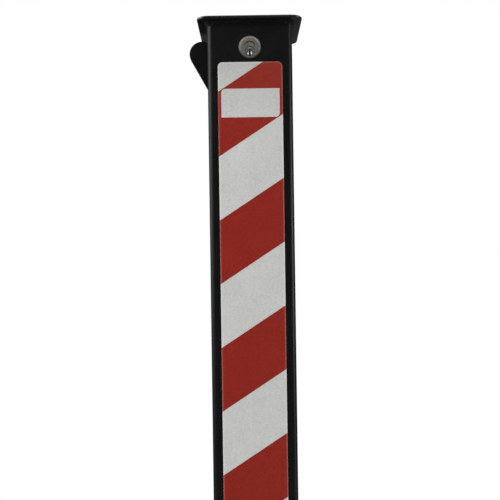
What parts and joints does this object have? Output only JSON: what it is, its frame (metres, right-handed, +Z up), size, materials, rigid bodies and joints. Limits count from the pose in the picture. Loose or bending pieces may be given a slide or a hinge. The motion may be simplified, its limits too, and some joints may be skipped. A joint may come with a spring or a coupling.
{
  "type": "telescopic bollard",
  "caption": "Square steel post with a flat lid, striped film and key lock that slides down into a ground sleeve and is bolted there.",
  "frame": {"origin": "middle of the post at ground level, on the top face of the ground flange", "axes": "+Z up along the post, -Y out of the striped front face, -X towards the side catch"},
  "size_m": [0.21, 0.21, 1.556],
  "materials": {
    "black_paint": "semi-gloss black paint",
    "white_film": "reflective film",
    "red_print": "red print on reflective film",
    "lock_metal": "dull nickel plate",
    "zinc_steel": "zinc plated",
    "spring_steel": "oiled spring strip",
    "galvanised": "hot-dip galvanised",
    "nylon": "moulded nylon",
    "rubber": "moulded rubber"
  },
  "bodies": {
    "ground_sleeve": {"sleeve_tube": "galvanised", "ground_flange": "galvanised", "sleeve_floor": "galvanised", "anchor_lugs": "galvanised", "mouth_guide_pads": "nylon", "rubber_buffer": "rubber", "bolt_keepers": "galvanised", "catch_pocket": "galvanised"},
    "post": {"post_tube": "black_paint", "lid_plate": "black_paint", "lid_weld": "black_paint", "white_film": "white_film", "red_stripes": "red_print", "lock_body": "lock_metal", "lock_nut": "zinc_steel", "catch_bracket": "zinc_steel", "catch_pin": "zinc_steel", "catch_spring": "spring_steel", "rod_guides": "zinc_steel", "bolt_housing": "zinc_steel", "foot_shoe": "nylon"},
    "key_plug": {"lock_plug": "lock_metal", "lock_cam": "zinc_steel", "cam_screw": "zinc_steel"},
    "rod": {"lock_rod": "zinc_steel"},
    "bolt": {"lock_bolt": "zinc_steel", "bolt_pin": "zinc_steel"},
    "catch": {"side_catch": "black_paint"}
  },
  "joints": [
    {"name": "post_slide", "type": "slide", "parent": "ground_sleeve", "child": "post", "axis": [0, 0, 1], "range_m": [-0.6895, 0]},
    {"name": "lock_turn", "type": "hinge", "parent": "post", "child": "key_plug", "pos_m": [0, -0.05, 0.6536], "axis": [0, 1, 0], "range_deg": [0, 90]},
    {"name": "rod_slide", "type": "slide", "parent": "post", "child": "rod", "axis": [0, 0, -1], "range_m": [0, 0.01414]},
    {"name": "bolt_slide", "type": "slide", "parent": "post", "child": "bolt", "axis": [1, 0, 0], "range_m": [0, 0.01416]},
    {"name": "catch_pivot", "type": "hinge", "parent": "post", "child": "catch", "pos_m": [-0.032, 0, 0.604], "axis": [0, 1, 0], "range_deg": [0, 22], "stiffness_Nm_per_rad": 0.4, "springref_deg": -28.65, "deforming": ["catch_spring"]}
  ],
  "couplings": [
    {"joint": "lock_turn", "follows": "rod_slide", "rad_per_m": 111.07},
    {"joint": "bolt_slide", "follows": "rod_slide", "ratio": 1}
  ]
}
